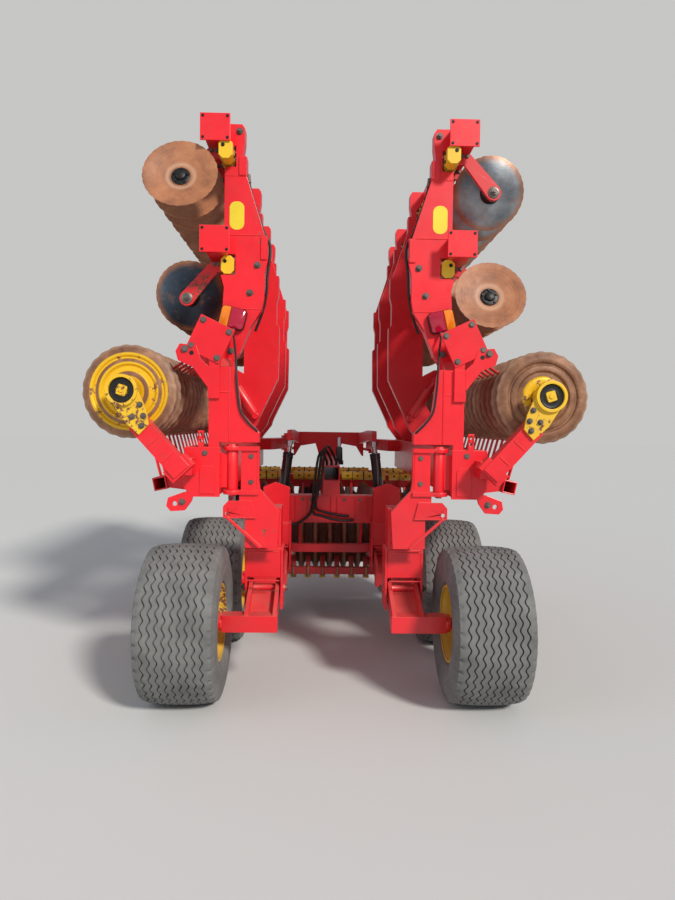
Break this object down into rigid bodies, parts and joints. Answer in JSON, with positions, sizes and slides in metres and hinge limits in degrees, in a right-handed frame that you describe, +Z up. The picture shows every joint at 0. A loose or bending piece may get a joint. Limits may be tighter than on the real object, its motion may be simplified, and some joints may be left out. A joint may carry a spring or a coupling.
{
  "type": "folded trailed disc harrow",
  "caption": "Trailed compact disc harrow folded for road travel: two upright wings with disc rows and ring rollers over a wheeled centre frame with drawbar.",
  "frame": {"origin": "on the ground under the middle of the machine's length and width", "axes": "+Y points ahead to the tow eye, +X to the machine's right, +Z up"},
  "size_m": [2.98, 7.7999, 3.49],
  "materials": {
    "red_paint": "gloss, worn at the edges",
    "yellow_paint": "gloss, chipped",
    "rusty_steel": "rusty, scoured",
    "disc_steel": "rust film over scoured steel",
    "dark_steel": "greasy, dark",
    "tyre": "dusty",
    "black_paint": "gloss",
    "chrome_rod": "polished",
    "hose": "matt",
    "lamp": "moulded",
    "grey_steel": "worn bare"
  },
  "bodies": {
    "frame": {"centre_frame": "red_paint", "headstock": "red_paint", "drawbar": "red_paint", "tow_eye": "grey_steel", "centre_legs": "red_paint", "centre_wheel_arms": "red_paint", "centre_beams": "red_paint", "centre_clamps": "yellow_paint", "centre_arms": "red_paint", "centre_hubs": "dark_steel", "centre_discs": "disc_steel", "centre_roller_frame": "red_paint", "centre_scrapers": "red_paint", "lift_cylinders": "black_paint", "lift_rods": "chrome_rod", "hoses": "hose"},
    "stand": {"parking_stand": "red_paint"},
    "centre_roller": {"centre_roller": "rusty_steel"},
    "wheel_front_left": {"front_tyre_left": "tyre", "front_rim_left": "yellow_paint"},
    "wheel_rear_left": {"rear_tyre_left": "tyre", "rear_rim_left": "yellow_paint"},
    "tip_leg_left": {"tip_leg_left": "red_paint", "tip_wheel_arm_left": "red_paint"},
    "wing_left": {"wing_frame_left": "red_paint", "wing_ribs_left": "red_paint", "wing_beams_left": "red_paint", "wing_clamps_left": "yellow_paint", "wing_arms_left": "red_paint", "wing_hubs_left": "dark_steel", "wing_discs_left": "disc_steel", "roller_frame_left": "red_paint", "roller_bearings_left": "yellow_paint", "lower_scrapers_left": "red_paint", "comb_left": "red_paint", "depth_cylinder_left": "red_paint", "tail_lamp_left": "lamp"},
    "wing_roller_left": {"wing_roller_left": "rusty_steel"},
    "wheel_front_right": {"front_tyre_right": "tyre", "front_rim_right": "yellow_paint"},
    "wheel_rear_right": {"rear_tyre_right": "tyre", "rear_rim_right": "yellow_paint"},
    "tip_leg_right": {"tip_leg_right": "red_paint", "tip_wheel_arm_right": "red_paint"},
    "wing_right": {"wing_frame_right": "red_paint", "wing_ribs_right": "red_paint", "wing_beams_right": "red_paint", "wing_clamps_right": "yellow_paint", "wing_arms_right": "red_paint", "wing_hubs_right": "dark_steel", "wing_discs_right": "disc_steel", "roller_frame_right": "red_paint", "roller_bearings_right": "yellow_paint", "lower_scrapers_right": "red_paint", "comb_right": "red_paint", "depth_cylinder_right": "red_paint", "tail_lamp_right": "lamp"},
    "wing_roller_right": {"wing_roller_right": "rusty_steel"}
  },
  "joints": [
    {"name": "stand_fold", "type": "hinge", "parent": "frame", "child": "stand", "pos_m": [-0.195, 3.045, 0.79], "axis": [-1, 0, 0], "range_deg": [0, 85]},
    {"name": "centre_roller_spin", "type": "hinge", "parent": "frame", "child": "centre_roller", "pos_m": [0, -1.255, 0.6], "axis": [1, 0, 0], "continuous": true},
    {"name": "wheel_front_left_spin", "type": "hinge", "parent": "frame", "child": "wheel_front_left", "pos_m": [-0.88, -2.275, 0.465], "axis": [1, 0, 0], "continuous": true},
    {"name": "wing_swing_left", "type": "hinge", "parent": "frame", "child": "wing_left", "pos_m": [-0.47, 0.045, 1.45], "axis": [0, 0, -1], "range_deg": [0, 90]},
    {"name": "tip_swivel_left", "type": "hinge", "parent": "wing_left", "child": "tip_leg_left", "pos_m": [-0.628, -3.355, 1.37], "axis": [0, 0, -1], "range_deg": [-90, 0]},
    {"name": "wheel_rear_left_spin", "type": "hinge", "parent": "tip_leg_left", "child": "wheel_rear_left", "pos_m": [-0.88, -3.435, 0.465], "axis": [1, 0, 0], "continuous": true},
    {"name": "wing_roller_left_spin", "type": "hinge", "parent": "wing_left", "child": "wing_roller_left", "pos_m": [-1.215, -2, 1.83], "axis": [0, 1, 0], "continuous": true},
    {"name": "wheel_front_right_spin", "type": "hinge", "parent": "frame", "child": "wheel_front_right", "pos_m": [0.88, -2.275, 0.465], "axis": [1, 0, 0], "continuous": true},
    {"name": "wing_swing_right", "type": "hinge", "parent": "frame", "child": "wing_right", "pos_m": [0.47, 0.045, 1.45], "axis": [0, 0, 1], "range_deg": [0, 90]},
    {"name": "tip_swivel_right", "type": "hinge", "parent": "wing_right", "child": "tip_leg_right", "pos_m": [0.628, -3.355, 1.37], "axis": [0, 0, 1], "range_deg": [-90, 0]},
    {"name": "wheel_rear_right_spin", "type": "hinge", "parent": "tip_leg_right", "child": "wheel_rear_right", "pos_m": [0.88, -3.435, 0.465], "axis": [1, 0, 0], "continuous": true},
    {"name": "wing_roller_right_spin", "type": "hinge", "parent": "wing_right", "child": "wing_roller_right", "pos_m": [1.215, -2, 1.83], "axis": [0, 1, 0], "continuous": true}
  ],
  "couplings": [
    {"joint": "tip_swivel_left", "follows": "wing_swing_left", "ratio": -1},
    {"joint": "tip_swivel_right", "follows": "wing_swing_right", "ratio": -1}
  ]
}
